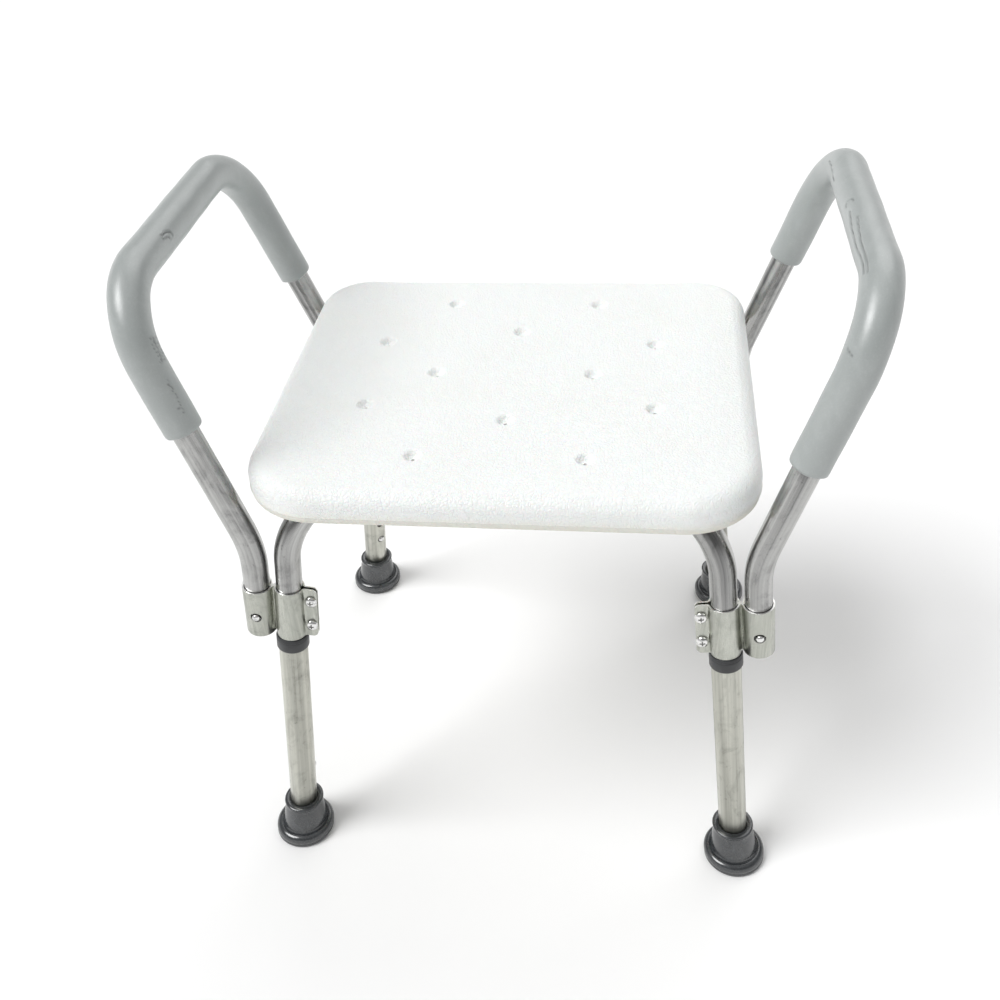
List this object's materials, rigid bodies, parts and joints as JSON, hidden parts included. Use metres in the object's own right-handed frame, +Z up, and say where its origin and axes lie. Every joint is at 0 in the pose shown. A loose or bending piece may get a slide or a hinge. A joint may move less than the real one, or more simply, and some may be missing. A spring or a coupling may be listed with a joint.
{
  "type": "shower stool",
  "caption": "Bath seat: white moulded plastic seat with drain holes on a bent tube frame, with rubber-footed adjustable legs and lift-off arms with foam grips.",
  "frame": {"origin": "on the floor, under the seat's centre", "axes": "+Z up, +X to the stool's left-to-right width as seen from the front, front facing -Y"},
  "size_m": [0.5814, 0.4194, 0.5818],
  "materials": {
    "seat_plastic": "white blow-moulded plastic, fine leather grain on top",
    "aluminium": "satin anodised tube and strip",
    "leg_aluminium": "satin anodised, faintly streaked",
    "steel": "bright plated steel",
    "rubber": "dark glossy rubber",
    "collar_plastic": "dark moulded plastic",
    "foam": "grey closed-cell foam, smooth skin"
  },
  "bodies": {
    "frame": {"seat": "seat_plastic", "frame_tube_a": "aluminium", "frame_tube_b": "aluminium", "centre_rivet": "steel", "seat_screw_front_right": "steel", "bracket_front_right": "aluminium", "screw_front_right_upper": "steel", "screw_front_right_lower": "steel", "nut_front_right_upper": "steel", "nut_front_right_lower": "steel", "seat_screw_front_left": "steel", "bracket_front_left": "aluminium", "screw_front_left_upper": "steel", "screw_front_left_lower": "steel", "nut_front_left_upper": "steel", "nut_front_left_lower": "steel", "seat_screw_rear_right": "steel", "bracket_rear_right": "aluminium", "screw_rear_right_upper": "steel", "screw_rear_right_lower": "steel", "nut_rear_right_upper": "steel", "nut_rear_right_lower": "steel", "seat_screw_rear_left": "steel", "bracket_rear_left": "aluminium", "screw_rear_left_upper": "steel", "screw_rear_left_lower": "steel", "nut_rear_left_upper": "steel", "nut_rear_left_lower": "steel"},
    "leg_front_right": {"lower_leg_front_right": "leg_aluminium", "collar_front_right": "collar_plastic", "foot_front_right": "rubber"},
    "leg_snap_front_right": {"leg_button_front_right": "steel"},
    "leg_front_left": {"lower_leg_front_left": "leg_aluminium", "collar_front_left": "collar_plastic", "foot_front_left": "rubber"},
    "leg_snap_front_left": {"leg_button_front_left": "steel"},
    "leg_rear_right": {"lower_leg_rear_right": "leg_aluminium", "collar_rear_right": "collar_plastic", "foot_rear_right": "rubber"},
    "leg_snap_rear_right": {"leg_button_rear_right": "steel"},
    "leg_rear_left": {"lower_leg_rear_left": "leg_aluminium", "collar_rear_left": "collar_plastic", "foot_rear_left": "rubber"},
    "leg_snap_rear_left": {"leg_button_rear_left": "steel"},
    "arm_right": {"arm_tube_right": "aluminium", "grip_right": "foam"},
    "arm_left": {"arm_tube_left": "aluminium", "grip_left": "foam"},
    "arm_snap_front_right": {"arm_button_front_right": "steel"},
    "arm_snap_front_left": {"arm_button_front_left": "steel"},
    "arm_snap_rear_right": {"arm_button_rear_right": "steel"},
    "arm_snap_rear_left": {"arm_button_rear_left": "steel"}
  },
  "joints": [
    {"name": "leg_height_front_right", "type": "slide", "parent": "frame", "child": "leg_front_right", "axis": [0.0962, -0.0829, -0.9919], "range_m": [0, 0.1016], "deforming": ["leg_button_front_right"]},
    {"name": "leg_height_front_left", "type": "slide", "parent": "frame", "child": "leg_front_left", "axis": [-0.0962, -0.0829, -0.9919], "range_m": [0, 0.1016], "deforming": ["leg_button_front_left"]},
    {"name": "leg_height_rear_right", "type": "slide", "parent": "frame", "child": "leg_rear_right", "axis": [0.0962, 0.0829, -0.9919], "range_m": [0, 0.1016], "deforming": ["leg_button_rear_right"]},
    {"name": "leg_height_rear_left", "type": "slide", "parent": "frame", "child": "leg_rear_left", "axis": [-0.0962, 0.0829, -0.9919], "range_m": [0, 0.1016], "deforming": ["leg_button_rear_left"]},
    {"name": "leg_snap_press_front_right", "type": "slide", "parent": "frame", "child": "leg_snap_front_right", "axis": [0.7513, -0.6476, 0.127], "range_m": [0, 0.0034], "stiffness_N_per_m": 500},
    {"name": "leg_snap_press_front_left", "type": "slide", "parent": "frame", "child": "leg_snap_front_left", "axis": [-0.7513, -0.6476, 0.127], "range_m": [0, 0.0034], "stiffness_N_per_m": 500},
    {"name": "leg_snap_press_rear_right", "type": "slide", "parent": "frame", "child": "leg_snap_rear_right", "axis": [0.7513, 0.6476, 0.127], "range_m": [0, 0.0034], "stiffness_N_per_m": 500},
    {"name": "leg_snap_press_rear_left", "type": "slide", "parent": "frame", "child": "leg_snap_rear_left", "axis": [-0.7513, 0.6476, 0.127], "range_m": [0, 0.0034], "stiffness_N_per_m": 500},
    {"name": "arm_lift_right", "type": "slide", "parent": "frame", "child": "arm_right", "axis": [-0.0965, 0, 0.9953], "range_m": [0, 0.02], "deforming": ["arm_button_front_right", "arm_button_rear_right"]},
    {"name": "arm_lift_left", "type": "slide", "parent": "frame", "child": "arm_left", "axis": [0.0965, 0, 0.9953], "range_m": [0, 0.02], "deforming": ["arm_button_front_left", "arm_button_rear_left"]},
    {"name": "arm_snap_press_front_right", "type": "slide", "parent": "arm_right", "child": "arm_snap_front_right", "axis": [0, 1, 0], "range_m": [0, 0.0038], "stiffness_N_per_m": 500},
    {"name": "arm_snap_press_front_left", "type": "slide", "parent": "arm_left", "child": "arm_snap_front_left", "axis": [0, 1, 0], "range_m": [0, 0.0038], "stiffness_N_per_m": 500},
    {"name": "arm_snap_press_rear_right", "type": "slide", "parent": "arm_right", "child": "arm_snap_rear_right", "axis": [0, -1, 0], "range_m": [0, 0.0038], "stiffness_N_per_m": 500},
    {"name": "arm_snap_press_rear_left", "type": "slide", "parent": "arm_left", "child": "arm_snap_rear_left", "axis": [0, -1, 0], "range_m": [0, 0.0038], "stiffness_N_per_m": 500}
  ]
}
